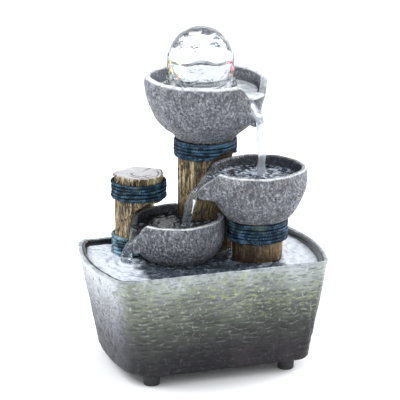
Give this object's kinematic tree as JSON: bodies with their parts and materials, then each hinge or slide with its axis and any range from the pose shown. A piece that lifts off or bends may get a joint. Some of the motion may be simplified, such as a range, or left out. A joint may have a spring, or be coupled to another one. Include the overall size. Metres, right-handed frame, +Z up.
{
  "type": "tabletop water fountain",
  "caption": "Tabletop water fountain: stone-look basin with spouted bowls on log posts bound in cord, and a clear ball turning on a water jet above a submersible pump.",
  "frame": {"origin": "bottom centre of the overall box, on the surface that the feet stand on", "axes": "+Z up, +X along the basin's length towards the middle bowl, +Y towards the back where the cord inlet is"},
  "size_m": [0.1836, 0.1319, 0.2566],
  "materials": {
    "stone_cast": "cast stone with carved strokes, painted light grey-green to charcoal",
    "stone_bowl": "pitted grey stone, wet",
    "log_wood": "deep grain, weathered",
    "cord_blue": "twisted cord",
    "black_gloss": "gloss black",
    "black_matte": "moulded black",
    "rubber_black": "soft black rubber",
    "steel": "plated steel",
    "vinyl_clear": "clear vinyl",
    "clear_acrylic": "clear acrylic",
    "clear_glass": "polished clear glass",
    "pump_plastic": "moulded dark grey",
    "dial_plastic": "moulded red",
    "rotor_plastic": "moulded white",
    "ferrite": "sintered ferrite",
    "shaft_ceramic": "ground ceramic",
    "copper_wire": "enamelled copper winding"
  },
  "bodies": {
    "basin": {"basin": "stone_cast", "basin_liner": "black_gloss", "foot_front_left": "rubber_black", "foot_front_right": "rubber_black", "foot_rear_left": "rubber_black", "foot_rear_right": "rubber_black", "cord_grommet": "rubber_black"},
    "sculpture": {"deck_plate": "black_matte", "deck_legs": "black_matte", "post_screws": "steel", "post_tall": "log_wood", "post_mid": "log_wood", "post_short": "log_wood", "low_bowl_pedestal": "black_matte", "bowl_top": "stone_bowl", "bowl_mid": "stone_bowl", "bowl_low": "stone_bowl", "rope_tall": "cord_blue", "rope_mid": "cord_blue", "rope_short_upper": "cord_blue", "rope_short_lower": "cord_blue", "riser_tube": "vinyl_clear", "feed_nozzle": "clear_acrylic", "nozzle_nut": "pump_plastic", "nozzle_seal": "rubber_black", "led_housing": "black_matte", "led_lens": "clear_acrylic", "led_lead": "rubber_black", "pump_housing": "pump_plastic", "pump_volute": "pump_plastic", "pump_strainer": "black_matte", "pump_seal": "rubber_black", "outlet_adapter": "black_matte", "suction_cups": "rubber_black", "impeller_shaft": "shaft_ceramic", "shaft_bush_front": "rubber_black", "shaft_bush_rear": "rubber_black", "stator_core": "steel", "stator_coil": "copper_wire", "motor_potting": "black_gloss"},
    "cup": {"ball_cup": "clear_acrylic"},
    "ball": {"glass_ball": "clear_glass"},
    "rotor": {"impeller": "rotor_plastic", "impeller_magnet": "ferrite"},
    "regulator": {"flow_regulator": "dial_plastic"}
  },
  "joints": [
    {"name": "sculpture_lift", "type": "slide", "parent": "basin", "child": "sculpture", "axis": [0, 0, 1], "range_m": [0, 0.09]},
    {"name": "cup_lift", "type": "slide", "parent": "sculpture", "child": "cup", "axis": [0, 0, 1], "range_m": [0, 0.05]},
    {"name": "ball_spin", "type": "hinge", "parent": "cup", "child": "ball", "pos_m": [0.0089, 0.0202, 0.2316], "axis": [0, 0, 1], "continuous": true},
    {"name": "rotor_spin", "type": "hinge", "parent": "sculpture", "child": "rotor", "pos_m": [0.0089, 0.0202, 0.034], "axis": [1, 0, 0], "continuous": true},
    {"name": "regulator_turn", "type": "hinge", "parent": "sculpture", "child": "regulator", "pos_m": [0.0089, 0.0202, 0.034], "axis": [-1, 0, 0], "range_deg": [0, 60]}
  ]
}
